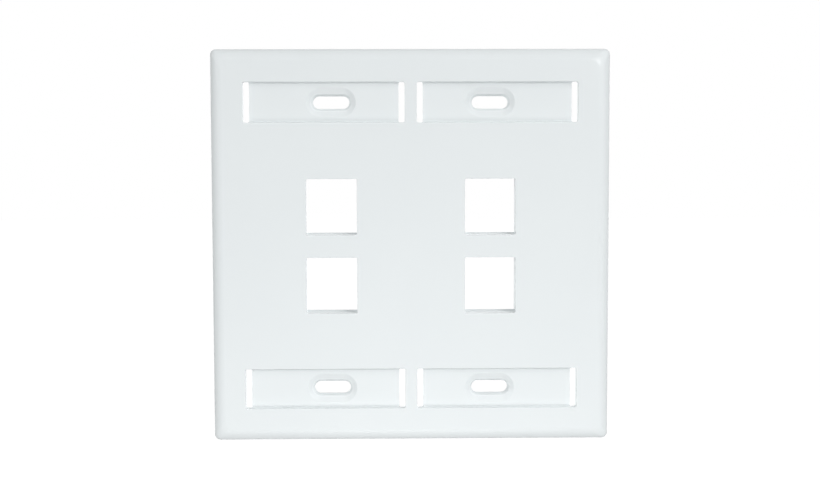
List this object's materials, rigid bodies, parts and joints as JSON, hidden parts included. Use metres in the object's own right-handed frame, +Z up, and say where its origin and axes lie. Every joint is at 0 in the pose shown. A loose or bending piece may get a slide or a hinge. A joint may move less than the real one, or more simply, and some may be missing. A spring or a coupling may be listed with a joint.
{
  "type": "keystone faceplate",
  "caption": "Square wall faceplate moulded in one piece, with keystone jack openings in two columns and label recesses holding slotted screw holes.",
  "frame": {"origin": "centre of the plate on the wall surface, which is the plane of the rim's back edge", "axes": "+X across the plate to the right as seen from the front, +Y into the wall, +Z up the plate"},
  "size_m": [0.116, 0.0098, 0.1142],
  "materials": {
    "plate_plastic": "gloss"
  },
  "bodies": {
    "root": {"faceplate": "plate_plastic"}
  },
  "joints": []
}
